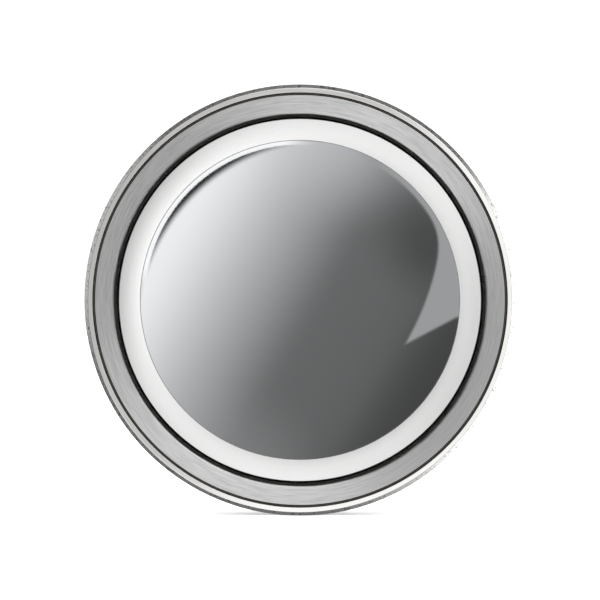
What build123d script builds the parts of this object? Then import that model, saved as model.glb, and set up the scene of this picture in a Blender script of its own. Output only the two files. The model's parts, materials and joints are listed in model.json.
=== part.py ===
from build123d import *
import os
from math import sqrt

# Round opening porthole for a boat's hull or cabin side. A fixed frame is clamped through the hull by
# an outer ring, and a glazed sash opens inboard and upward on a friction hinge at twelve o'clock. Two
# quarter-turn latches, at four and eight o'clock, pull the sash down onto its seal.
#
# Frame: X to the right and Z up as seen from outside, Y inboard. The origin is the centre of the hull
# cut-out, on the hull's outer skin. "Depth" means Y. All sizes are in millimetres.
# Pieces that stand at the rim are drawn at twelve o'clock and turned to their place about Y.

# ---- hull and bedding
hull_thickness = 12.0
outer_bedding = 1.5
inner_bedding = 1.0
bedding_inset = 1.5

# ---- fixed frame
flange_radius = 125.0
bore_radius = 108.0
spigot_wall = 3.0
inner_flange_thickness = 6.0
inner_flange_chamfer = 1.5
seat_rib_offset = 2.0
seat_rib_width = 1.6
seat_rib_height = 2.0
rib_round_share = 0.4

# ---- outer ring
ring_height = 5.5
rim_width = 4.9
rim_edge = 2.3
rim_fall = 0.65
groove_width = 1.6
groove_depth = 1.5
groove_draft = 0.5
band_rise = 2.4
band_below_rim = 0.4
lip_round = 1.5
spigot_register = 0.7
register_clearance = 0.1

# ---- clamp screws and the pillars that they thread into
screws_per_clamp_point = 3
pillar_radius = 3.5
pillar_short_of_frame = 3.5
pillar_hole_clearance = 1.3
bedding_clearance = 0.3
clamp_shank = 2.0
clamp_head = 4.0
clamp_bite = 5.0
screw_clearance = 0.05

# ---- sash
nose_gap = 2.7
nose_proud_of_skin = 5.5
bezel_fall = 2.0
bezel_width = 12.7
lip_thickness = 3.5
sash_wall = 4.3
sash_flange_overlap = 7.0
sash_flange_thickness = 7.0
sash_seat_gap = 1.0
sash_round = 0.8
sash_inner_chamfer = 1.0

# ---- sash seal
seal_width = 6.0
seal_depth = 3.0
seal_fit = 0.1
seal_clearance = 0.2

# ---- glazing
glazing_tape = 1.0
glass_edge_clearance = 0.6
inner_glass_thickness = 6.0
interlayer_thickness = 1.5
interlayer_inset = 0.4
outer_glass_fit = 0.3
outer_glass_edge = 2.0
outer_glass_dome = 4.5
outer_glass_round = 1.2
retainer_cover = 4.5
retainer_thickness = 4.5
retainer_step = 0.5
retainer_clearance = 0.05
retainer_chamfer = 1.5
spanner_notches = 6
spanner_notch = 5.0

# ---- hinge, at twelve o'clock
hinge_rise = 5.0
hinge_depth_from_sash = 3.0
knuckle_radius = 4.5
pin_radius = 2.5
pin_clearance = 0.05
knuckle_half_width = 12.0
hinge_washer = 1.0
hinge_play = 0.05
lug_width = 6.5
leaf_thickness = 3.0
leaf_reach = 12.0
foot_thickness = 2.0
foot_span = 30.0
foot_screw_angle = 11.5
foot_clearance = 0.8
pin_head_radius = 4.2
pin_head_length = 3.5
nut_length = 5.5
nut_radius = 4.5
nut_hexagon_length = 3.3
nut_dome_radius = 3.7
nut_dome_round = 2.2

# ---- screws of the fittings
fitting_shank = 2.0
fitting_head = 4.0
fitting_bite = 4.5
small_shank = 1.5
small_head = 3.0
small_bite = 3.0
leaf_screw_head = 3.5
socket_share = 0.5
socket_depth = 1.4

# ---- latches
clamp_point_angles = (0, 120, 240)
latch_angle = 120
latch_inset = 7.0
base_length = 34.0
base_width = 12.0
base_thickness = 2.0
base_screw_spacing = 25.0
spindle_radius = 4.0
spindle_flange_radius = 5.5
spindle_flange = 2.4
spindle_square = 5.5
spindle_fit = 0.05
latch_washer_radius = 6.0
latch_washer = 0.5
latch_play = 0.05
tongue_width = 9.0
tongue_thickness = 3.0
tongue_hub = 5.8
tongue_reach = 4.6
handle_boss = 7.0
handle_top = 8.0
handle_root = 6.0
handle_tip = 4.5
handle_length = 40.0
handle_thickness = 5.5
handle_round = 1.6
handle_cap = 1.9

# ---- keepers
keeper_half_width = 8.0
keeper_foot_half_width = 17.0
keeper_foot = 3.0
keeper_screw_spacing = 25.0
keeper_hook = 3.2
keeper_engagement = 3.4
keeper_tip_clearance = 0.8
keeper_face_clearance = 0.2
keeper_edge = 0.5

# ---- depths that follow from the sizes above
ring_back = -outer_bedding
ring_front = ring_back - ring_height
frame_seat = hull_thickness + inner_bedding
frame_face = frame_seat + inner_flange_thickness
pillar_end = frame_seat - pillar_short_of_frame
clamp_screw_tip = pillar_end - clamp_bite
rib_top = frame_face + seat_rib_height
spigot_end = ring_back - spigot_register
sash_seat = rib_top + sash_seat_gap
sash_back = sash_seat + sash_flange_thickness
sash_front = -nose_proud_of_skin
lip_back = sash_front + lip_thickness
inner_glass_front = lip_back + glazing_tape
inner_glass_back = inner_glass_front + inner_glass_thickness
interlayer_front = inner_glass_front - interlayer_thickness
outer_glass_rim = interlayer_front - outer_glass_edge
outer_glass_crown = outer_glass_rim - outer_glass_dome

# ---- radii that follow
spigot_radius = bore_radius + spigot_wall
seat_rib_radius = bore_radius + seat_rib_offset
nose_radius = bore_radius - nose_gap
light_radius = nose_radius - bezel_width
sash_bore = nose_radius - sash_wall
sash_radius = bore_radius + sash_flange_overlap
glass_radius = sash_bore - 2 * sash_round - 2 * glass_edge_clearance
rebate_radius = glass_radius + glass_edge_clearance
clamp_circle = (spigot_radius + flange_radius) / 2
clamp_step = 360 / (screws_per_clamp_point * len(clamp_point_angles))
clamp_angles = [
    clamp_step * (i + 0.5) for i in range(screws_per_clamp_point * len(clamp_point_angles))
]


def turned(*outline):
    """A solid turned about the porthole's axis from the (radius, depth) corners of its section."""
    return revolve(make_face(Polyline(*outline, close=True)), Axis.Y)


def plate(outline, start, end):
    """An outline drawn in X and Z, as a plate from depth start to depth end."""
    return extrude(Plane.XZ.offset(-end) * outline, end - start)


def side_plate(outline, start, end):
    """An outline drawn in Y and Z, as a plate from X start to X end."""
    return extrude(Plane.YZ.offset(start) * outline, end - start)


def rod(radius, start, end):
    """A round bar along Y."""
    return turned((0, start), (radius, start), (radius, end), (0, end))


def cross_rod(radius, start, end):
    """A round bar along X, on the hinge's axis."""
    return side_plate(Pos(hinge_depth, hinge_height) * Circle(radius), start, end)


def sector(inner, outer, start, end, span):
    """A piece of a flat ring, span degrees long, centred on twelve o'clock."""
    section = make_face(Polyline((inner, start), (outer, start), (outer, end), (inner, end), close=True))
    return revolve(section, Axis.Y, span).rotate(Axis.Y, -90 - span / 2)


def rims(shape, *places):
    """The round edges of a turned shape at the given (radius, depth) places."""
    near = 0.01
    found = ShapeList()
    for edge in shape.edges().filter_by(GeomType.CIRCLE):
        for radius, depth in places:
            if abs(edge.radius - radius) < near and abs(edge.arc_center.Y - depth) < near:
                found.append(edge)
    return found


def countersunk(shank, head, face, tip, grow=0.0):
    """A countersunk screw whose head is flush at depth face, or its hole when grow is its clearance."""
    shank, head = shank + grow, head + grow
    return turned((0, tip - grow), (shank, tip - grow), (shank, face - head + shank), (head, face), (0, face))


def socketed(shank, head, face, tip):
    """A countersunk screw with a hexagon socket."""
    socket = RegularPolygon(head * socket_share, 6)
    return countersunk(shank, head, face, tip) - plate(socket, face - socket_depth, face)


def group(shapes):
    """Separate solids that share one node."""
    return Compound(children=[solid for shape in shapes for solid in shape.solids()])


def at_clock(shape, angle):
    """A piece drawn at twelve o'clock, turned to another hour, clockwise as seen from outside."""
    return shape.rotate(Axis.Y, angle)


# ---- fixed frame


def make_outer_ring():
    """Outer clamp ring: a polished rim, a narrow groove, and a satin band that dips towards the bore."""
    band_outer = flange_radius - rim_width - groove_width
    band_front = ring_front + band_below_rim
    groove_floor = ring_front + groove_depth
    body = turned(
        (bore_radius, spigot_end - register_clearance),
        (bore_radius, band_front + band_rise),
        (band_outer, band_front),
        (band_outer + groove_draft, groove_floor),
        (band_outer + groove_width - groove_draft, groove_floor),
        (band_outer + groove_width, ring_front),
        (flange_radius - rim_edge, ring_front + rim_fall),
        (flange_radius, ring_front + rim_fall + rim_edge),
        (flange_radius, ring_back),
        (spigot_radius + register_clearance, ring_back),
        (spigot_radius + register_clearance, spigot_end - register_clearance),
    )
    return fillet(rims(body, (bore_radius, band_front + band_rise)), lip_round)


def make_clamp_pillars():
    """Tapped pillars, welded to the back of the outer ring, that pass through the hull."""
    pillar = rod(pillar_radius, ring_back, pillar_end)
    pillar -= rod(clamp_shank + screw_clearance, clamp_screw_tip - screw_clearance, pillar_end)
    return group(at_clock(Pos(0, 0, clamp_circle) * pillar, angle) for angle in clamp_angles)


def make_bedding(start, end, hole_radius):
    """Flat rubber ring between the hull and a metal flange, holed for the clamp screws."""
    inner, outer = spigot_radius + bedding_clearance, flange_radius - bedding_inset
    ring = turned((inner, start), (outer, start), (outer, end), (inner, end))
    for angle in clamp_angles:
        ring -= at_clock(Pos(0, 0, clamp_circle) * rod(hole_radius, start, end), angle)
    return ring


def make_spigot():
    """Tube that passes through the hull. Its inner end carries the rib that the sash seal closes on."""
    rib_inner = seat_rib_radius - seat_rib_width / 2
    rib_outer = seat_rib_radius + seat_rib_width / 2
    body = turned(
        (bore_radius, spigot_end),
        (bore_radius, frame_face),
        (rib_inner, frame_face),
        (rib_inner, rib_top),
        (rib_outer, rib_top),
        (rib_outer, frame_face),
        (spigot_radius, frame_face),
        (spigot_radius, spigot_end),
    )
    return fillet(rims(body, (rib_inner, rib_top), (rib_outer, rib_top)), seat_rib_width * rib_round_share)


def make_frame_ring():
    """Inner flange, welded round the spigot, that carries the hinge and the keepers."""
    body = turned(
        (spigot_radius, frame_seat),
        (spigot_radius, frame_face),
        (flange_radius - inner_flange_chamfer, frame_face),
        (flange_radius, frame_face - inner_flange_chamfer),
        (flange_radius, frame_seat),
    )
    hole = countersunk(clamp_shank, clamp_head, frame_face, frame_seat, screw_clearance)
    for angle in clamp_angles:
        body -= at_clock(Pos(0, 0, clamp_circle) * hole, angle)
    tapping = rod(fitting_shank + screw_clearance, fitting_tip - screw_clearance, frame_face)
    for angle in (-foot_screw_angle, foot_screw_angle):
        body -= at_clock(Pos(0, 0, foot_screw_radius) * tapping, angle)
    for angle in (latch_angle, -latch_angle):
        for x in (-keeper_screw_spacing / 2, keeper_screw_spacing / 2):
            body -= at_clock(Pos(x, 0, keeper_screw_height) * tapping, angle)
    return body


def make_clamp_screws():
    """Countersunk screws that draw the outer ring and the fixed frame together through the hull."""
    screw = socketed(clamp_shank, clamp_head, frame_face, clamp_screw_tip)
    return group(at_clock(Pos(0, 0, clamp_circle) * screw, angle) for angle in clamp_angles)


# ---- sash


def make_sash_bezel():
    """Front ring of the sash, whose face slopes back from the glass. It is welded to the sash tube."""
    body = turned(
        (light_radius, sash_front),
        (nose_radius, sash_front + bezel_fall),
        (nose_radius, lip_back),
        (light_radius, lip_back),
    )
    return fillet(rims(body, (light_radius, sash_front), (nose_radius, sash_front + bezel_fall)), sash_round)


def make_sash_tube():
    """Tube of the sash, which fills the bore and holds the glass."""
    return turned(
        (rebate_radius, lip_back),
        (nose_radius, lip_back),
        (nose_radius, sash_seat),
        (sash_bore, sash_seat),
        (sash_bore, inner_glass_back + retainer_step),
        (rebate_radius, inner_glass_back + retainer_step),
    )


def make_sash_ring():
    """Flange of the sash, welded to its tube, with the groove for the seal. It carries hinge and latches."""
    groove_inner = seat_rib_radius - seal_width / 2 - seal_fit
    groove_outer = seat_rib_radius + seal_width / 2 + seal_fit
    groove_floor = sash_seat + seal_depth
    body = turned(
        (sash_bore, sash_seat),
        (groove_inner, sash_seat),
        (groove_inner, groove_floor),
        (groove_outer, groove_floor),
        (groove_outer, sash_seat),
        (sash_radius, sash_seat),
        (sash_radius, sash_back),
        (sash_bore + sash_inner_chamfer, sash_back),
        (sash_bore, sash_back - sash_inner_chamfer),
    )
    body = fillet(rims(body, (sash_radius, sash_back)), sash_round)
    for x in (-leaf_screw_offset, leaf_screw_offset):
        body -= Pos(x, 0, leaf_screw_height) * rod(
            fitting_shank + screw_clearance, leaf_screw_tip - screw_clearance, sash_back
        )
    recess = rod(spindle_flange_radius + 2 * spindle_fit, spindle_foot - 2 * spindle_fit, sash_back)
    tapping = rod(small_shank + screw_clearance, base_screw_tip - screw_clearance, sash_back)
    for angle in (latch_angle, -latch_angle):
        body -= at_clock(Pos(0, 0, latch_height) * recess, angle)
        for x in (-base_screw_spacing / 2, base_screw_spacing / 2):
            body -= at_clock(Pos(x, 0, latch_height) * tapping, angle)
    return body


def make_sash_seal():
    """Rubber ring in the sash flange that closes on the fixed frame's rib."""
    inner, outer = seat_rib_radius - seal_width / 2, seat_rib_radius + seal_width / 2
    front, back = rib_top + seal_clearance, sash_seat + seal_depth
    ring = turned((inner, front), (outer, front), (outer, back), (inner, back))
    return fillet(rims(ring, (inner, front), (outer, front)), (sash_seat - front) / 2)


def make_outer_glass():
    """Outer ply of the stepped laminate: domed, with a pencil-rounded edge inside the sash lip."""
    edge = light_radius - outer_glass_fit
    sphere = (edge**2 + outer_glass_dome**2) / (2 * outer_glass_dome)
    halfway = edge / 2
    halfway_depth = outer_glass_crown + sphere - sqrt(sphere**2 - halfway**2)
    section = Polyline(
        (0, outer_glass_crown), (0, interlayer_front), (edge, interlayer_front), (edge, outer_glass_rim)
    ) + ThreePointArc((0, outer_glass_crown), (halfway, halfway_depth), (edge, outer_glass_rim))
    ply = revolve(make_face(section), Axis.Y)
    return fillet(rims(ply, (edge, outer_glass_rim)), outer_glass_round)


def make_glass_interlayer():
    """Bonding layer between the two plies."""
    return rod(light_radius - interlayer_inset, interlayer_front, inner_glass_front)


def make_inner_glass():
    """Inner ply, larger than the outer one, clamped behind the sash lip."""
    return rod(glass_radius, inner_glass_front, inner_glass_back)


def make_glazing_seal():
    """Angle-section rubber between the inner ply and the sash."""
    return turned(
        (light_radius + interlayer_inset, lip_back),
        (rebate_radius, lip_back),
        (rebate_radius, inner_glass_back),
        (glass_radius, inner_glass_back),
        (glass_radius, inner_glass_front),
        (light_radius + interlayer_inset, inner_glass_front),
    )


def make_glass_retainer():
    """Threaded ring, with spanner notches, that holds the glass in the sash."""
    inner, outer = glass_radius - retainer_cover, sash_bore - retainer_clearance
    shoulder = inner_glass_back + retainer_step
    back = shoulder + retainer_thickness
    ring = turned(
        (inner, inner_glass_back),
        (glass_radius, inner_glass_back),
        (glass_radius, shoulder),
        (outer, shoulder),
        (outer, back),
        (inner + retainer_chamfer, back),
        (inner, back - retainer_chamfer),
    )
    notch = plate(Rectangle(spanner_notch, spanner_notch), back - retainer_chamfer, back)
    for i in range(spanner_notches):
        ring -= at_clock(Pos(0, 0, inner) * notch, 360 / spanner_notches * (i + 0.5))
    return ring


# ---- hinge

hinge_height = sash_radius + hinge_rise
hinge_depth = sash_back - hinge_depth_from_sash
lug_start = knuckle_half_width + hinge_washer
lug_end = lug_start + lug_width
foot_inner = sash_radius + foot_clearance
foot_outer = flange_radius - foot_clearance
foot_screw_radius = (foot_inner + foot_outer) / 2
foot_face = frame_face + foot_thickness
fitting_tip = foot_face - foot_thickness - fitting_bite
leaf_back = sash_back + leaf_thickness
leaf_screw_offset = knuckle_half_width / 2
leaf_screw_height = (sash_radius + sash_bore) / 2
leaf_screw_tip = sash_back - small_bite


def make_hinge_bracket():
    """Fixed half of the hinge: a curved foot with two lugs."""
    foot = sector(foot_inner, foot_outer, frame_face, foot_face, foot_span)
    neck_depth = hinge_depth - frame_face
    lug_outline = Pos(hinge_depth, hinge_height) * Circle(knuckle_radius)
    lug_outline += Pos(frame_face + neck_depth / 2, hinge_height) * Rectangle(neck_depth, 2 * knuckle_radius)
    half_span = sector(foot_inner, foot_outer, frame_face, hinge_depth + knuckle_radius, foot_span)
    for start, end in ((lug_start, lug_end), (-lug_end, -lug_start)):
        foot += side_plate(lug_outline, start, end) & half_span
    hole = countersunk(fitting_shank, fitting_head, foot_face, fitting_tip, screw_clearance)
    for angle in (-foot_screw_angle, foot_screw_angle):
        foot -= at_clock(Pos(0, 0, foot_screw_radius) * hole, angle)
    return foot - cross_rod(pin_radius, -lug_end, lug_end)


def make_hinge_bracket_screws():
    """Countersunk screws that hold the bracket on the fixed frame."""
    screw = socketed(fitting_shank, fitting_head, foot_face, fitting_tip)
    angles = (-foot_screw_angle, foot_screw_angle)
    return group(at_clock(Pos(0, 0, foot_screw_radius) * screw, angle) for angle in angles)


def make_hinge_leaf():
    """Moving half of the hinge: a plate on the sash with the middle knuckle."""
    height = hinge_height - sash_radius + leaf_reach
    leaf_middle = Pos(sash_back + leaf_thickness / 2, hinge_height - height / 2)
    outline = leaf_middle * Rectangle(leaf_thickness, height)
    outline += Pos(hinge_depth, hinge_height) * Circle(knuckle_radius)
    half = knuckle_half_width
    leaf = side_plate(outline, -half, half) - cross_rod(pin_radius + pin_clearance, -half, half)
    hole = countersunk(fitting_shank, leaf_screw_head, leaf_back, leaf_screw_tip, screw_clearance)
    for x in (-leaf_screw_offset, leaf_screw_offset):
        leaf -= Pos(x, 0, leaf_screw_height) * hole
    return leaf


def make_hinge_leaf_screws():
    """Countersunk screws that hold the leaf on the sash."""
    screw = socketed(fitting_shank, leaf_screw_head, leaf_back, leaf_screw_tip)
    return group(Pos(x, 0, leaf_screw_height) * screw for x in (-leaf_screw_offset, leaf_screw_offset))


def make_hinge_pin():
    """Shoulder bolt through both lugs, with a socket head at the left."""
    pin = cross_rod(pin_radius, -lug_end, lug_end + nut_length / 2)
    head = cross_rod(pin_head_radius, -lug_end - pin_head_length, -lug_end)
    socket = Pos(hinge_depth, hinge_height) * RegularPolygon(pin_radius, 6)
    return pin + head - side_plate(socket, -lug_end - pin_head_length, -lug_end - pin_head_length / 3)


def make_hinge_nut():
    """Domed nut that sets the hinge's friction."""
    outline = Pos(hinge_depth, hinge_height) * RegularPolygon(nut_radius, 6)
    hexagon = side_plate(outline, lug_end, lug_end + nut_hexagon_length)
    cap = cross_rod(nut_dome_radius, lug_end, lug_end + nut_length)
    cap = fillet(cap.edges().group_by(Axis.X)[-1], nut_dome_round)
    return hexagon + cap - cross_rod(pin_radius, lug_end, lug_end + nut_length / 2)


def make_hinge_washers():
    """Friction washers between the knuckle and the lugs."""
    washers = []
    for start in (knuckle_half_width, -lug_start):
        inner, outer = start + hinge_play, start + hinge_washer - hinge_play
        hole = cross_rod(pin_radius + pin_clearance, inner, outer)
        washers.append(cross_rod(knuckle_radius, inner, outer) - hole)
    return group(washers)


# ---- latches: drawn at twelve o'clock for the right-hand side, and mirrored for the left

latch_height = sash_radius - latch_inset
base_face = sash_back + base_thickness
base_screw_tip = sash_back - small_bite
spindle_foot = sash_back - spindle_flange - 2 * latch_play
tongue_front = base_face + latch_washer + 2 * latch_play
tongue_back = tongue_front + tongue_thickness
handle_front = tongue_back + latch_play
handle_back = handle_front + handle_top
spindle_top = handle_back - handle_cap
handle_screw_tip = tongue_back
keeper_underside = tongue_back + keeper_face_clearance
keeper_back = keeper_underside + keeper_hook
tongue_tip = latch_inset + tongue_reach
post_height = latch_height + tongue_tip + keeper_tip_clearance
hook_height = latch_height + tongue_tip - keeper_engagement
keeper_screw_height = (hook_height + keeper_edge + flange_radius - keeper_edge) / 2


def latch_piece(shape):
    """A latch piece drawn about the spindle's axis, at its place on the right of the sash."""
    return at_clock(Pos(0, 0, latch_height) * shape, latch_angle)


def make_latch_base():
    """Base plate, screwed to the sash, that the spindle turns in."""
    base = plate(SlotOverall(base_length, base_width), sash_back, base_face)
    base -= rod(spindle_radius + spindle_fit, sash_back, base_face)
    hole = countersunk(small_shank, small_head, base_face, sash_back, screw_clearance)
    for x in (-base_screw_spacing / 2, base_screw_spacing / 2):
        base -= Pos(x, 0, 0) * hole
    return latch_piece(base)


def make_latch_base_screws():
    """Countersunk screws that hold the base plate on the sash."""
    screw = socketed(small_shank, small_head, base_face, base_screw_tip)
    spots = (-base_screw_spacing / 2, base_screw_spacing / 2)
    return group(latch_piece(Pos(x, 0, 0) * screw) for x in spots)


def make_latch_washer():
    """Friction washer under the tongue."""
    start, end = base_face + latch_play, base_face + latch_play + latch_washer
    inner = spindle_radius + 2 * spindle_fit
    return latch_piece(
        turned((inner, start), (latch_washer_radius, start), (latch_washer_radius, end), (inner, end))
    )


def make_latch_spindle():
    """Spindle: a flange under the base plate, a round bearing, and a square for the tongue and handle."""
    spindle = rod(spindle_flange_radius, spindle_foot, sash_back - 2 * latch_play)
    spindle += rod(spindle_radius, spindle_foot, tongue_front)
    spindle += plate(Rectangle(spindle_square, spindle_square), tongue_front, spindle_top)
    return latch_piece(spindle - rod(small_shank, handle_screw_tip, spindle_top))


def make_latch_tongue():
    """Tongue that turns under the keeper. At rest it points along the rim, clear of the keeper."""
    arm = Pos(tongue_tip / 2, 0) * Rectangle(tongue_tip, tongue_width) & Circle(tongue_tip)
    outline = arm + Circle(tongue_hub) - Rectangle(spindle_square, spindle_square)
    return latch_piece(plate(outline, tongue_front, tongue_back))


def make_latch_handle():
    """Tapered lever. At rest it points to the middle of the glass."""
    tip = Pos(0, -handle_length) * Circle(handle_tip)
    lever = make_hull(Circle(handle_root).edges() + tip.edges())
    handle = plate(lever, handle_back - handle_thickness, handle_back)
    handle += rod(handle_boss, handle_front, handle_back)
    handle = fillet(handle.edges().group_by(Axis.Y)[-1], handle_round)
    handle -= plate(Rectangle(spindle_square, spindle_square), handle_front, spindle_top)
    handle -= countersunk(small_shank, small_head, handle_back, handle_front, screw_clearance)
    return latch_piece(handle)


def make_latch_screw():
    """Screw that holds the handle on the spindle."""
    return latch_piece(socketed(small_shank, small_head, handle_back, handle_screw_tip))


def make_keeper():
    """Hooked keeper on the fixed frame, with a screw each side of the hook."""
    inside = flange_radius - keeper_edge

    def block(low, half_width, start, end):
        tall = Pos(0, (low + inside) / 2) * Rectangle(2 * half_width, inside - low)
        return plate(tall & Circle(inside), start, end)

    keeper = block(hook_height + keeper_edge, keeper_foot_half_width, frame_face, frame_face + keeper_foot)
    keeper += block(post_height, keeper_half_width, frame_face, keeper_back)
    keeper += block(hook_height, keeper_half_width, keeper_underside, keeper_back)
    hole = countersunk(fitting_shank, fitting_head, frame_face + keeper_foot, frame_face, screw_clearance)
    for x in (-keeper_screw_spacing / 2, keeper_screw_spacing / 2):
        keeper -= Pos(x, 0, keeper_screw_height) * hole
    return at_clock(keeper, latch_angle)


def make_keeper_screws():
    """Countersunk screws that hold the keeper on the fixed frame."""
    screw = socketed(fitting_shank, fitting_head, frame_face + keeper_foot, fitting_tip)
    spots = (-keeper_screw_spacing / 2, keeper_screw_spacing / 2)
    return group(at_clock(Pos(x, 0, keeper_screw_height) * screw, latch_angle) for x in spots)


# ---- every node

nodes = {
    "outer_ring": make_outer_ring(),
    "clamp_pillars": make_clamp_pillars(),
    "outer_bedding": make_bedding(ring_back, 0, pillar_radius + pillar_hole_clearance),
    "inner_bedding": make_bedding(hull_thickness, frame_seat, clamp_shank + bedding_clearance),
    "spigot": make_spigot(),
    "frame_ring": make_frame_ring(),
    "clamp_screws": make_clamp_screws(),
    "sash_bezel": make_sash_bezel(),
    "sash_tube": make_sash_tube(),
    "sash_ring": make_sash_ring(),
    "sash_seal": make_sash_seal(),
    "outer_glass": make_outer_glass(),
    "glass_interlayer": make_glass_interlayer(),
    "inner_glass": make_inner_glass(),
    "glazing_seal": make_glazing_seal(),
    "glass_retainer": make_glass_retainer(),
    "hinge_bracket": make_hinge_bracket(),
    "hinge_bracket_screws": make_hinge_bracket_screws(),
    "hinge_leaf": make_hinge_leaf(),
    "hinge_leaf_screws": make_hinge_leaf_screws(),
    "hinge_pin": make_hinge_pin(),
    "hinge_nut": make_hinge_nut(),
    "hinge_washers": make_hinge_washers(),
}
paired = {
    "latch_base": make_latch_base(),
    "latch_base_screws": make_latch_base_screws(),
    "latch_washer": make_latch_washer(),
    "latch_spindle": make_latch_spindle(),
    "latch_tongue": make_latch_tongue(),
    "latch_handle": make_latch_handle(),
    "latch_screw": make_latch_screw(),
    "keeper": make_keeper(),
    "keeper_screws": make_keeper_screws(),
}
for name, shape in paired.items():
    nodes[name + "_right"] = shape
    nodes[name + "_left"] = mirror(shape, about=Plane.YZ)

os.makedirs("parts", exist_ok=True)
for name, shape in nodes.items():
    export_step(shape, f"parts/{name}.step")
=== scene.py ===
import bpy
import json
from math import cos, radians, sin
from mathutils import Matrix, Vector

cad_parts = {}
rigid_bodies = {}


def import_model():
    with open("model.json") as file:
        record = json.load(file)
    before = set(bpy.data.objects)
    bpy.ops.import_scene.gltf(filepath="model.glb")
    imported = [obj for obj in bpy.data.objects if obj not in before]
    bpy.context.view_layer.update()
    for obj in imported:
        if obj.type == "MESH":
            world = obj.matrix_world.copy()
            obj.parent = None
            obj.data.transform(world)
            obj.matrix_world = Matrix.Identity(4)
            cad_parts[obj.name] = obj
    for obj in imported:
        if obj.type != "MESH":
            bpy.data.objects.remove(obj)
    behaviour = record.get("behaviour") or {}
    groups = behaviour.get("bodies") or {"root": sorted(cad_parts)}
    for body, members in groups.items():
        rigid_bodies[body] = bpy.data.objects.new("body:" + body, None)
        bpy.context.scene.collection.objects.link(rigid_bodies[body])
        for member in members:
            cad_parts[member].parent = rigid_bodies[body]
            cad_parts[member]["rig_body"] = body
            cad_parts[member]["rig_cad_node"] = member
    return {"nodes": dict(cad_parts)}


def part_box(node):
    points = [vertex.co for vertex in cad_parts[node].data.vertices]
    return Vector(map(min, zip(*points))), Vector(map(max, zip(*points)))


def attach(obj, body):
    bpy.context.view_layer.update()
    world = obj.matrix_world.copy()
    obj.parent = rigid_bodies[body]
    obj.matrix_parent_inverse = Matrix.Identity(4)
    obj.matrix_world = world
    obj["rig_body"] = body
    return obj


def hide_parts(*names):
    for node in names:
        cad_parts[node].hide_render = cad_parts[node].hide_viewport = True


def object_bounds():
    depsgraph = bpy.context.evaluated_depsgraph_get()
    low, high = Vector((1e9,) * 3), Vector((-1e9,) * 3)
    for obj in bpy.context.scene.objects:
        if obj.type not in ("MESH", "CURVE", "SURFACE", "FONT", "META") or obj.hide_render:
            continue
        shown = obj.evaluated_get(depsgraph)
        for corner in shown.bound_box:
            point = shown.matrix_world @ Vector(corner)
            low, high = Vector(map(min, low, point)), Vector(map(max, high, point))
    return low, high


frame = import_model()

cad_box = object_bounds()
nodes = frame["nodes"]

# ---- The studio
# A pale table, a camera straight in front of the glass, and the soft white room that polished steel needs to
# look like steel. Grey, black and white boards hang round the camera, and only reflections see them.
camera_distance = 1.2
view_width = 0.3463
sensor_width = 36.0
table_size = 12.0
table_glow = 0.55
softbox_size = 3.0
softbox_watts = 90
softbox_place = (0, -0.6, 2.6)
plain_white = 1.25
wall_white = 0.82

scene = bpy.context.scene
scene.view_settings.view_transform = "Standard"


def to_linear(hex_colour):
    """An sRGB hex colour as the linear red, green, blue and alpha that a shader takes."""
    channels = [int(hex_colour[i:i + 2], 16) / 255 for i in (1, 3, 5)]
    return [c / 12.92 if c <= 0.04045 else ((c + 0.055) / 1.055) ** 2.4 for c in channels] + [1.0]


def add(tree, kind, links=None, **settings):
    """Adds a node: links maps its inputs to sockets or values, and settings are its own options."""
    node = tree.nodes.new(kind)
    for option, value in settings.items():
        setattr(node, option, value)
    for key, value in (links or {}).items():
        if isinstance(value, bpy.types.NodeSocket):
            tree.links.new(value, node.inputs[key])
        else:
            node.inputs[key].default_value = value
    return node


def blank_material(name):
    """A material with an empty node tree, and its tree."""
    material = bpy.data.materials.new(name)
    material.use_nodes = True
    material.node_tree.nodes.clear()
    return material, material.node_tree


bpy.ops.object.select_all(action="DESELECT")
bpy.ops.object.camera_add(location=(0, cad_box[0][1] - camera_distance, 0), rotation=(radians(90), 0, 0))
camera = bpy.context.object
camera.name = "camera"
camera.data.sensor_width = sensor_width
camera.data.lens = sensor_width * camera_distance / view_width
scene.camera = camera

bpy.ops.mesh.primitive_plane_add(size=table_size, location=(0, 0, cad_box[0][2]))
table = bpy.context.object
table.name = "table"
laminate, tree = blank_material("matt_white_laminate")
paint = add(tree, "ShaderNodeBsdfDiffuse", {"Color": to_linear("#f6f6f5")})
glow = add(tree, "ShaderNodeEmission", {"Color": to_linear("#f6f6f5"), "Strength": table_glow})
lit_paint = add(tree, "ShaderNodeAddShader", {0: paint.outputs[0], 1: glow.outputs[0]})
add(tree, "ShaderNodeOutputMaterial", {"Surface": lit_paint.outputs[0]})
table.data.materials.append(laminate)
table.visible_glossy = False

bpy.ops.object.light_add(type="AREA", location=softbox_place)
overhead = bpy.context.object
overhead.name = "overhead_softbox"
overhead.data.shape = "RECTANGLE"
overhead.data.size = softbox_size
overhead.data.size_y = softbox_size
overhead.data.energy = softbox_watts
overhead.visible_glossy = False
overhead.visible_camera = False

world = bpy.data.worlds.new("white_room")
scene.world = world
world.use_nodes = True
room = world.node_tree
room.nodes.clear()


def calc(operation, *values):
    """A sum on shader values in the room."""
    return add(room, "ShaderNodeMath", dict(enumerate(values)), operation=operation).outputs[0]


def steer(operation, links, output=0):
    """A sum on directions in the room."""
    return add(room, "ShaderNodeVectorMath", links, operation=operation).outputs[output]


look = add(room, "ShaderNodeTexCoord").outputs["Generated"]
look_parts = add(room, "ShaderNodeSeparateXYZ", {"Vector": look})
to_camera = calc("MULTIPLY", look_parts.outputs["Y"], -1.0)
tilt = calc("ARCCOSINE", to_camera)
sideways = steer("MULTIPLY", {0: look, 1: (1, 0, 1)})
hour = steer("NORMALIZE", {0: sideways})
wall = steer("SCALE", {0: sideways, "Scale": calc("DIVIDE", 1.0, to_camera)})


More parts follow.
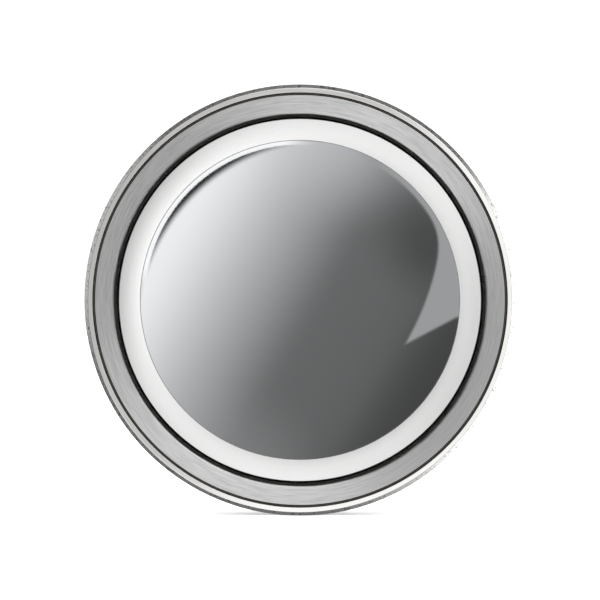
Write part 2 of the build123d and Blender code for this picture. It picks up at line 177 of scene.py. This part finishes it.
def fade(value, start, end):
    """0 at start, 1 at end, and smooth between."""
    ends = {"Value": value, "From Min": start, "From Max": end}
    return add(room, "ShaderNodeMapRange", ends, interpolation_type="SMOOTHSTEP").outputs["Result"]


def facing(clock):
    """The way towards an hour, in degrees counter-clockwise from the right."""
    return cos(radians(clock)), 0, sin(radians(clock))


def hang(below, mask, brightness):
    """Hangs a board over what is there already."""
    return add(room, "ShaderNodeMix", {"Factor": mask, "A": below, "B": brightness}).outputs["Result"]


def ring_board(clock, half_width, near, far, soft_ends=12, soft_sides=3):
    """A board bent round the camera's line, from tilt near to tilt far. Its sizes are degrees."""
    along = steer("DOT_PRODUCT", {0: hour, 1: facing(clock)}, "Value")
    ends = fade(along, cos(radians(half_width + soft_ends)), cos(radians(half_width - soft_ends)))
    inner = fade(tilt, radians(near - soft_sides), radians(near + soft_sides))
    outer = fade(tilt, radians(far + soft_sides), radians(far - soft_sides))
    return calc("MULTIPLY", ends, calc("MULTIPLY", inner, outer))


def across(clock):
    """How far towards an hour a point is, on a flat wall 1 m from the glass on the camera's side."""
    return steer("DOT_PRODUCT", {0: wall, 1: facing(clock)}, "Value")


def from_spot(clock, distance):
    """How far a point of that wall is from a spot on it."""
    spot = tuple(distance * part for part in facing(clock))
    return steer("DISTANCE", {0: wall, 1: spot}, "Value")


# the far side of the room, which only the inboard face sees: grey below, white above, and two dark doorways
height = look_parts.outputs["Z"]
far_side = fade(look_parts.outputs["Y"], 0.3, 0.45)
far_room = 0.12
for foot, head, brightness in ((-0.8, -0.6, 0.62), (-0.25, 0.05, 0.95), (0.35, 0.5, 0.5), (0.6, 0.7, 1.6)):
    far_room = hang(far_room, fade(height, foot, head), brightness)
jamb_softness = 0.06
for clock, near_jamb in ((8, 0.42), (188, 0.7)):
    opening = fade(across(clock), -near_jamb, -near_jamb - jamb_softness)
    doorway = calc("MULTIPLY", opening, fade(across(clock), -1.6, -1.3))
    far_room = hang(far_room, doorway, 0.08)
walls = hang(wall_white, far_side, far_room)

# a broad white board behind the camera, wider one way than the other, with grey wings on its narrow sides
behind_camera = fade(to_camera, 0.2, 0.25)
board_turn = 72
board_half_length = 0.68
board_half_width = 0.58
along_board = calc("POWER", calc("DIVIDE", across(board_turn), board_half_length), 2.0)
across_board = calc("POWER", calc("DIVIDE", across(board_turn + 90), board_half_width), 2.0)
white_board = calc("MULTIPLY", fade(calc("ADD", along_board, across_board), 1.0, 0.5), behind_camera)
seen = hang(walls, white_board, 1.38)
seen = hang(seen, ring_board(345, 28, 26, 44, soft_sides=7), 0.6)
seen = hang(seen, ring_board(162, 30, 26, 32, soft_sides=5), 0.55)

# lamps far out on two sides and black boards on the other two, which the brushing draws across the band
for clock, brightness in ((70, 2.6), (242, 2.0)):
    seen = hang(seen, ring_board(clock, 28, 44, 76, soft_ends=20), brightness)
for clock in (158, 334):
    seen = hang(seen, ring_board(clock, 38, 40, 78, soft_ends=14), 0.05)

# a white strip at the lower right, dark boards above and below it, and a lamp level with the rim on the right
seen = hang(seen, ring_board(328, 84, 32, 38, soft_ends=18), 1.7)
seen = hang(seen, ring_board(75, 60, 82, 112), 0.08)
seen = hang(seen, ring_board(240, 50, 84, 110), 0.12)
seen = hang(seen, ring_board(350, 36, 78, 112, soft_ends=14), 2.6)

# what the glass sees: a sheet of grey that runs from white at the upper left to charcoal at the lower
# right. It is lit hard enough to make up for the dark coating of the glass. The greys run along its fall.
sheet_radius = 0.285
sheet_edge = 0.006
sheet_turn = 150
sheet_light = 1.62
coating_light = 1.82
down_the_fall = calc("ADD", calc("DIVIDE", across(sheet_turn), 2 * sheet_radius), 0.5)
fall = add(room, "ShaderNodeValToRGB", {"Fac": down_the_fall})
fall.color_ramp.interpolation = "B_SPLINE"
greys = ((0.04, "#434343"), (0.12, "#4d4d4d"), (0.2, "#606060"), (0.33, "#656565"), (0.43, "#646464"),
         (0.5, "#747474"), (0.59, "#989898"), (0.67, "#adadad"), (0.75, "#c5c5c5"), (0.82, "#d7d7d7"),
         (0.9, "#ebebeb"), (0.97, "#f0f0f0"))
while len(fall.color_ramp.elements) < len(greys):
    fall.color_ramp.elements.new(0.5)
for element, (position, grey) in zip(fall.color_ramp.elements, greys):
    element.position = position
    element.color = to_linear(grey)
sheet = calc("MULTIPLY", fall.outputs["Color"], sheet_light)
for spot, reach, strength, brightness in (
    ((76, 0.32), (0.21, 0.02), 0.45, 0.95),
    ((245, 0.33), (0.2, 0.02), 0.2, 0.8),
    ((24, 0.25), (0.13, 0.01), 0.65, 0.07),
):
    patch = calc("MULTIPLY", fade(from_spot(*spot), *reach), strength)
    sheet = hang(sheet, patch, brightness)

# a pale window at the right edge of the sheet, left open by a round shade and a wider bowed one, with a
# point at its foot
round_shade_radius = 0.2695
bowed_shade_radius = 0.504
bowed_shade_spot = (144.6, 0.3103)
shades_blend = 0.035
window_softness = 0.003
foot_turn = 116.6
centre = (0, 0.0)
round_shade = calc("SUBTRACT", round_shade_radius, from_spot(*centre))
bowed_shade = calc("SUBTRACT", bowed_shade_radius, from_spot(*bowed_shade_spot))
both_shades = calc("SMOOTH_MIN", round_shade, bowed_shade, shades_blend)
past_shades = fade(both_shades, window_softness, -window_softness)
above_foot = fade(across(foot_turn), -0.152, -0.146)
on_the_right = fade(across(0), 0.09, 0.15)
window = calc("MULTIPLY", past_shades, calc("MULTIPLY", above_foot, on_the_right))
sheet = hang(sheet, window, 0.53)

# a dark sickle at the upper left, with a bright arc outside it
sickle_turn = 132
sickle = fade(from_spot(sickle_turn + 180, 0.08), 0.3325, 0.347)
sheet = hang(sheet, sickle, 0.02)
arc = calc("MULTIPLY", fade(from_spot(95, 0.001), 0.2697, 0.2703), fade(across(sickle_turn), 0.18, 0.225))
sheet = hang(sheet, arc, 1.55)
sheet = calc("MULTIPLY", sheet, coating_light)
inside_sheet = fade(from_spot(*centre), sheet_radius + sheet_edge, sheet_radius)
sheet_mask = calc("MULTIPLY", inside_sheet, behind_camera)
seen = hang(seen, sheet_mask, sheet)

is_reflection = add(room, "ShaderNodeLightPath").outputs["Is Glossy Ray"]
whole_room = hang(plain_white, is_reflection, seen)
backdrop = add(room, "ShaderNodeBackground", {"Color": whole_room, "Strength": 1.0})
add(room, "ShaderNodeOutputWorld", {"Surface": backdrop.outputs[0]})


# ---- Outer ring
# The part that shows on the hull: a ring turned from 316 stainless bar. Its rim is mirror-polished, and its
# band was brushed on the lathe, so the band's scratches run round it and its light spreads across them.
def apply_place(piece):
    """Puts a piece's place, turn and size into its mesh."""
    bpy.ops.object.select_all(action="DESELECT")
    piece.select_set(True)
    bpy.context.view_layer.objects.active = piece
    bpy.ops.object.transform_apply(location=True, rotation=True, scale=True)


def turn(name, outline, steps=256):
    """A turned piece. A circle is drawn at the first corner of its section, extruded to every other, and
    closed. Each corner is a radius and a depth along Y."""
    bpy.ops.object.select_all(action="DESELECT")
    radius, depth = outline[0]
    bpy.ops.mesh.primitive_circle_add(
        vertices=steps, radius=radius, location=(0, depth, 0), rotation=(radians(90), 0, 0)
    )
    piece = bpy.context.object
    piece.name = name
    apply_place(piece)
    bpy.ops.object.mode_set(mode="EDIT")
    bpy.ops.mesh.select_all(action="SELECT")
    for (r0, d0), (r1, d1) in zip(outline, outline[1:]):
        bpy.ops.mesh.extrude_region_move(TRANSFORM_OT_translate={"value": (0, d1 - d0, 0)})
        bpy.ops.transform.resize(value=(r1 / r0, 1, r1 / r0), center_override=(0, d1, 0))
    bpy.ops.mesh.select_all(action="SELECT")
    bpy.ops.mesh.select_non_manifold(extend=False)
    bpy.ops.mesh.bridge_edge_loops()
    bpy.ops.mesh.select_all(action="SELECT")
    bpy.ops.mesh.normals_make_consistent(inside=False)
    bpy.ops.object.mode_set(mode="OBJECT")
    return piece


def soften(piece, width, segments=3, angle=20):
    """Rounds a piece's sharp edges and smooths its shading."""
    bpy.ops.object.select_all(action="DESELECT")
    piece.select_set(True)
    bpy.context.view_layer.objects.active = piece
    edge = piece.modifiers.new("edge", "BEVEL")
    edge.width = width
    edge.segments = segments
    edge.limit_method = "ANGLE"
    edge.angle_limit = radians(angle)
    edge.harden_normals = True
    bpy.ops.object.shade_smooth_by_angle(angle=radians(30))
    bpy.ops.object.modifier_apply(modifier="edge")


ring_low, ring_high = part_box("outer_ring")
mm = 0.001
ring_radius = ring_high.x
ring_front = ring_low.y
ring_back = ring_high.y
rim_width = 4.9 * mm
rim_fall = 0.65 * mm
rim_edge = 2.3 * mm
groove_width = 1.6 * mm
groove_depth = 1.5 * mm
groove_draft = 0.5 * mm
band_below_rim = 0.4 * mm
band_rise = 2.4 * mm
nose_gap = 2.7 * mm
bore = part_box("sash_bezel")[1].x + nose_gap
register_clearance = 0.1 * mm
register_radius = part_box("spigot")[1].x + register_clearance
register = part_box("spigot")[0].y - register_clearance
lip_round = 1.5 * mm
lip_ahead = 0.2 * mm
lip_arc_end = 78
lip_arc_step = 11
ring_edge_round = 0.15 * mm

groove_outer = ring_radius - rim_width
groove_inner = groove_outer - groove_width
band_front = ring_front + band_below_rim
lip = band_front + band_rise
lip_arc = [
    (bore + lip_round * (1 - cos(radians(a))), lip - lip_ahead + lip_round * (1 - sin(radians(a))))
    for a in range(0, lip_arc_end, lip_arc_step)
]
outer_ring = turn("outer_ring_turned", [
    (bore, register),
    *lip_arc,
    (groove_inner, band_front),
    (groove_inner + groove_draft, ring_front + groove_depth),
    (groove_outer - groove_draft, ring_front + groove_depth),
    (groove_outer, ring_front),
    (ring_radius - rim_edge, ring_front + rim_fall),
    (ring_radius, ring_front + rim_fall + rim_edge),
    (ring_radius, ring_back),
    (register_radius, ring_back),
    (register_radius, register),
])
soften(outer_ring, ring_edge_round)


usual_radius = 100 * mm


def turned_marks(tree, pitch, arc):
    """Marks that run round the porthole's axis, pitch apart and about arc long, in metres."""
    place = add(tree, "ShaderNodeTexCoord")
    flat = add(tree, "ShaderNodeVectorMath", {0: place.outputs["Object"], 1: (1, 0, 1)}, operation="MULTIPLY")
    radius = add(tree, "ShaderNodeVectorMath", {0: flat.outputs[0]}, operation="LENGTH")
    bearing = add(tree, "ShaderNodeVectorMath", {0: flat.outputs[0]}, operation="NORMALIZE")
    spaced = {0: bearing.outputs[0], "Scale": usual_radius / arc}
    around = add(tree, "ShaderNodeVectorMath", spaced, operation="SCALE")
    outward = add(tree, "ShaderNodeMath", {0: radius.outputs["Value"], 1: 1 / pitch}, operation="MULTIPLY")
    lifted = add(tree, "ShaderNodeCombineXYZ", {"Y": outward.outputs[0]})
    spot = add(tree, "ShaderNodeVectorMath", {0: around.outputs[0], 1: lifted.outputs[0]}, operation="ADD")
    waves = {"Vector": spot.outputs[0], "Scale": 1.0, "Detail": 2.0, "Roughness": 0.6}
    return add(tree, "ShaderNodeTexNoise", waves)


def turned_steel(
    name, dark, light, roughness, spread, anisotropy, pitch=0.6 * mm, arc=25 * mm, depth=0.002 * mm
):
    """Stainless steel finished on a lathe. Its colour and roughness vary from mark to mark. Real marks are
    about 0.1 mm apart, too fine to show, so they are drawn coarser."""
    material, tree = blank_material(name)
    marks = turned_marks(tree, pitch, arc)
    rough = add(tree, "ShaderNodeMapRange", {
        "Value": marks.outputs["Fac"], "From Min": 0.3, "From Max": 0.7,
        "To Min": roughness - spread, "To Max": roughness + spread,
    })
    shade = add(tree, "ShaderNodeValToRGB", {"Fac": marks.outputs["Fac"]})
    shade.color_ramp.elements[0].position = 0.3
    shade.color_ramp.elements[0].color = to_linear(dark)
    shade.color_ramp.elements[1].position = 0.7
    shade.color_ramp.elements[1].color = to_linear(light)
    bump = add(tree, "ShaderNodeBump", {"Height": marks.outputs["Fac"], "Strength": 1.0, "Distance": depth})
    way = add(tree, "ShaderNodeTangent", direction_type="RADIAL", axis="Y")
    steel = add(tree, "ShaderNodeBsdfPrincipled", {
        "Base Color": shade.outputs["Color"], "Metallic": 1.0, "Roughness": rough.outputs["Result"],
        "Anisotropic": anisotropy, "Anisotropic Rotation": 0.25, "Tangent": way.outputs[0],
        "Normal": bump.outputs[0],
    })
    add(tree, "ShaderNodeOutputMaterial", {"Surface": steel.outputs[0]})
    return material


# polished 316 stainless, which mirrors the studio with faint rings
polished_rim = turned_steel(
    "polished_316_stainless_rim", "#cccbc9", "#d7d6d4", 0.12, 0.04, 0.2, depth=0.001 * mm
)

# 316 stainless brushed as it turned, which spreads each light into a fan across the scratches
brushed_band = turned_steel(
    "brushed_316_stainless_band", "#a9a9aa", "#c6c6c5", 0.4, 0.08, 0.85,
    pitch=0.9 * mm, arc=14 * mm, depth=0.006 * mm,
)

# the groove as the parting tool left it, dull, and painted dark grey as painted shade in the groove
groove_painted_shade = turned_steel("groove_shadow_steel", "#4c4945", "#66635e", 0.5, 0.05, 0.0)

# 316 stainless turned and left satin, which softens a reflection to a glow. The spigot's bore has
# yellowed a little in the gap, where no one polishes it.
satin_steel = turned_steel(
    "satin_turned_316_stainless", "#b2b2b3", "#c9c9c9", 0.3, 0.05, 0.6, depth=0.004 * mm
)
bore_steel = turned_steel(
    "warm_satin_316_stainless_bore", "#b0aca5", "#c5c1ba", 0.3, 0.05, 0.6, depth=0.004 * mm
)


def sawn_steel(name, colour):
    """316 stainless left as the saw cut it: pits about a millimetre apart break its shine into specks."""
    material, tree = blank_material(name)
    place = add(tree, "ShaderNodeTexCoord")
    pits = add(tree, "ShaderNodeTexNoise", {
        "Vector": place.outputs["Object"], "Scale": 0.7 / mm, "Detail": 3.0, "Roughness": 0.7,
    })
    shade = add(tree, "ShaderNodeValToRGB", {"Fac": pits.outputs["Fac"]})
    shade.color_ramp.elements[0].position = 0.36
    shade.color_ramp.elements[0].color = to_linear("#5a5958")
    shade.color_ramp.elements[1].position = 0.46
    shade.color_ramp.elements[1].color = to_linear(colour)
    pitting = {"Height": pits.outputs["Fac"], "Strength": 1.0, "Distance": 0.05 * mm}
    bump = add(tree, "ShaderNodeBump", pitting)
    steel = add(tree, "ShaderNodeBsdfPrincipled", {
        "Base Color": shade.outputs["Color"], "Metallic": 1.0, "Roughness": 0.3,
        "Normal": bump.outputs[0],
    })
    add(tree, "ShaderNodeOutputMaterial", {"Surface": steel.outputs[0]})
    return material


sawn_edge = sawn_steel("as_sawn_316_stainless_edge", "#d0d0cf")
ring_finishes = (polished_rim, brushed_band, groove_painted_shade, sawn_edge, satin_steel)
for material in ring_finishes:
    outer_ring.data.materials.append(material)
near = 0.1 * mm
groove_top = ring_front + 0.5 * mm
groove_bottom = ring_front + groove_depth + near
edge_back = ring_front + rim_fall + rim_edge + near
# the groove's faces take the steel that is painted dark as painted shade
for face in outer_ring.data.polygons:
    radius = Vector((face.center.x, face.center.z)).length
    depth = face.center.y
    if depth > edge_back and radius > groove_outer:
        face.material_index = ring_finishes.index(satin_steel)
    elif radius > ring_radius - rim_edge + near:
        face.material_index = ring_finishes.index(sawn_edge)
    elif radius < groove_inner and depth < register:
        face.material_index = ring_finishes.index(brushed_band)
    elif radius < groove_outer and groove_top < depth < groove_bottom:
        face.material_index = ring_finishes.index(groove_painted_shade)
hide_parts("outer_ring")
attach(outer_ring, "frame")


def finish(material, *names):
    """Gives CAD nodes a finish."""
    for name in names:
        mesh = nodes[name].data
        mesh.materials.clear()
        mesh.materials.append(material)


finish(satin_steel, "frame_ring", "sash_tube", "sash_ring", "glass_retainer")
finish(bore_steel, "spigot")


# ---- Rubber
# The beddings under both flanges, the sash seal and the glazing tape are EPDM rubber, moulded or cut
# from sheet. They are squeezed in place and held by nothing else.
def moulded(name, colour):
    """A moulded elastomer or plastic: dull, with a fine grain off the mould that softens its shine."""
    material, tree = blank_material(name)
    place = add(tree, "ShaderNodeTexCoord")
    grain = add(tree, "ShaderNodeTexNoise", {
        "Vector": place.outputs["Object"], "Scale": 1.5 / mm, "Detail": 3.0,
    })
    skin = {"Height": grain.outputs["Fac"], "Strength": 0.3, "Distance": 0.02 * mm}
    bump = add(tree, "ShaderNodeBump", skin)
    body = add(tree, "ShaderNodeBsdfPrincipled", {
        "Base Color": to_linear(colour), "Roughness": 0.75, "IOR": 1.5, "Normal": bump.outputs[0],
    })
    add(tree, "ShaderNodeOutputMaterial", {"Surface": body.outputs[0]})
    return material


black_rubber = moulded("black_epdm_rubber", "#211c17")
finish(black_rubber, "outer_bedding", "inner_bedding", "sash_seal", "glazing_seal")

# ---- Sash bezel
# The front lip of the sash: a 316 stainless ring, turned with a slightly crowned face that falls
# outward, buffed to a soft shine and welded to the sash tube.
bezel_low, bezel_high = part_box("sash_bezel")
nose_radius = bezel_high.x
bezel_width = 12.7 * mm
light_radius = nose_radius - bezel_width
bezel_front = bezel_low.y
bezel_back = bezel_high.y
bezel_fall = 2.0 * mm
crown = 0.35 * mm
inner_round = 0.08 * mm
outer_round = 0.42 * mm
face_set_back = 0.05 * mm
inner_set_back = 0.12 * mm
outer_set_back = 0.6 * mm
bezel_edge_round = 0.05 * mm
face_steps = 12
bezel_face = []
for step in range(face_steps + 1):
    share = step / face_steps
    bezel_face.append((
        light_radius + inner_round + share * (bezel_width - inner_round - outer_round),
        bezel_front + face_set_back + share * bezel_fall - crown * 2 * share * (1 - share),
    ))
bezel = turn("sash_bezel_turned", [
    (light_radius, bezel_back),
    (light_radius, bezel_front + inner_set_back),
    *bezel_face,
    (nose_radius, bezel_front + bezel_fall + outer_set_back),
    (nose_radius, bezel_back),
])
soften(bezel, bezel_edge_round)

# buffed 316 stainless, which turns the studio into one even pale sheen
buffed_steel = turned_steel(
    "buffed_316_stainless_bezel", "#d4d4d4", "#d9d9d8", 0.24, 0.02, 0.3, depth=0.0006 * mm
)
bezel.data.materials.append(buffed_steel)
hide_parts("sash_bezel")
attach(bezel, "sash")

# ---- Glass
# Two panes of toughened glass with a grey film between them. The outer pane is ground to a shallow dome,
# with its edge broken by a hair, and carries a one-way mirror coating. It sits inside the bezel.
glass_low, glass_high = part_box("outer_glass")
glass_radius = light_radius - 0.02 * mm
centre_radius = 0.05 * mm
glass_front = glass_low.y
glass_back = glass_high.y
dome = 4.5 * mm
sphere = (glass_high.x ** 2 + dome ** 2) / (2 * dome)
arris = 0.06 * mm
slices = 48
dome_smooth_angle = 35
dome_line = []
for step in range(slices):
    r = (glass_radius - arris) * (slices - step) / slices
    dome_line.append((r, glass_front + sphere - (sphere ** 2 - r ** 2) ** 0.5))
glass = turn("outer_glass_ground", [
    (centre_radius, glass_back),
    (glass_radius, glass_back),
    (glass_radius, dome_line[0][1] + arris),
    *dome_line,
    (centre_radius, glass_front),
])
bpy.ops.object.shade_smooth_by_angle(angle=radians(dome_smooth_angle))


def mirror_glass():
    """Toughened glass with a one-way mirror coating: a dark, sharp mirror, barely blurred by the coating."""
    material, tree = blank_material("one_way_mirror_glass")
    place = add(tree, "ShaderNodeTexCoord")
    grain = add(tree, "ShaderNodeTexNoise", {
        "Vector": place.outputs["Object"], "Scale": 0.9 / mm, "Detail": 2.0,
    })
    fine = {"Height": grain.outputs["Fac"], "Strength": 1.0, "Distance": 0.0004 * mm}
    bump = add(tree, "ShaderNodeBump", fine)
    body = add(tree, "ShaderNodeBsdfPrincipled", {
        "Base Color": to_linear("#9c9d9e"), "Metallic": 1.0, "Roughness": 0.02,
        "Normal": bump.outputs[0],
    })
    add(tree, "ShaderNodeOutputMaterial", {"Surface": body.outputs[0]})
    return material


mirror = mirror_glass()
glass.data.materials.append(mirror)
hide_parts("outer_glass")
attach(glass, "sash")


def smoked_glass():
    """Laminated glass with a grey film in it, seen from the cabin: it mirrors the room dimly."""
    material, tree = blank_material("grey_film_laminated_glass")
    body = add(tree, "ShaderNodeBsdfPrincipled", {
        "Base Color": to_linear("#23282a"), "Roughness": 0.03, "IOR": 1.52, "Specular IOR Level": 1.0,
        "Coat Weight": 1.0, "Coat Roughness": 0.02, "Coat IOR": 1.52,
    })
    add(tree, "ShaderNodeOutputMaterial", {"Surface": body.outputs[0]})
    return material


finish(smoked_glass(), "glass_interlayer", "inner_glass")

# ---- Hinge, latches and keepers
# The fittings are investment-cast in 316 stainless, tumbled so that no edge is sharp, and polished. They are
# screwed to the frame and the sash, and nylon washers keep the moving ones from rubbing.
merge_within = 0.001 * mm
flat_within = 1
corner_angle = 28


def eased(name, width, material):
    """A copy of a CAD node with its edges rounded, which stands for that node."""
    bpy.ops.object.select_all(action="DESELECT")
    nodes[name].select_set(True)
    bpy.context.view_layer.objects.active = nodes[name]
    bpy.ops.object.duplicate()
    piece = bpy.context.object
    body = piece["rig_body"]
    piece.name = name + "_eased"
    piece.parent = None
    del piece["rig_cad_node"]
    bpy.ops.object.mode_set(mode="EDIT")
    bpy.ops.mesh.select_all(action="SELECT")
    bpy.ops.mesh.remove_doubles(threshold=merge_within)
    bpy.ops.mesh.dissolve_limited(angle_limit=radians(flat_within))
    bpy.ops.object.mode_set(mode="OBJECT")
    bpy.ops.mesh.customdata_custom_splitnormals_clear()
    soften(piece, width, angle=corner_angle)
    piece.data.materials.clear()
    piece.data.materials.append(material)
    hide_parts(name)
    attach(piece, body)


# cast 316 stainless, tumbled and polished: bright, with a soft wander in its shine
cast_steel = turned_steel("cast_316_stainless", "#cbcbcc", "#d3d3d3", 0.16, 0.05, 0.0)
for name, width in (
    ("hinge_bracket", 0.4 * mm), ("hinge_leaf", 0.4 * mm),
    ("latch_base_right", 0.2 * mm), ("latch_base_left", 0.2 * mm),
    ("latch_tongue_right", 0.4 * mm), ("latch_tongue_left", 0.4 * mm),
    ("latch_handle_right", 0.3 * mm), ("latch_handle_left", 0.3 * mm),
    ("keeper_right", 0.6 * mm), ("keeper_left", 0.6 * mm),
):
    eased(name, width, cast_steel)

# cold-formed A4 stainless, duller than the castings
screw_steel = turned_steel("a4_stainless_screw", "#bcbcbd", "#c9c9c9", 0.24, 0.05, 0.0)
for name in ("hinge_pin", "hinge_nut"):
    eased(name, 0.25 * mm, screw_steel)
for name in nodes:
    if "screw" in name or "spindle" in name or name == "clamp_pillars":
        finish(screw_steel, name)
nylon = moulded("natural_nylon", "#e6e2d6")
finish(nylon, "hinge_washers", "latch_washer_right", "latch_washer_left")
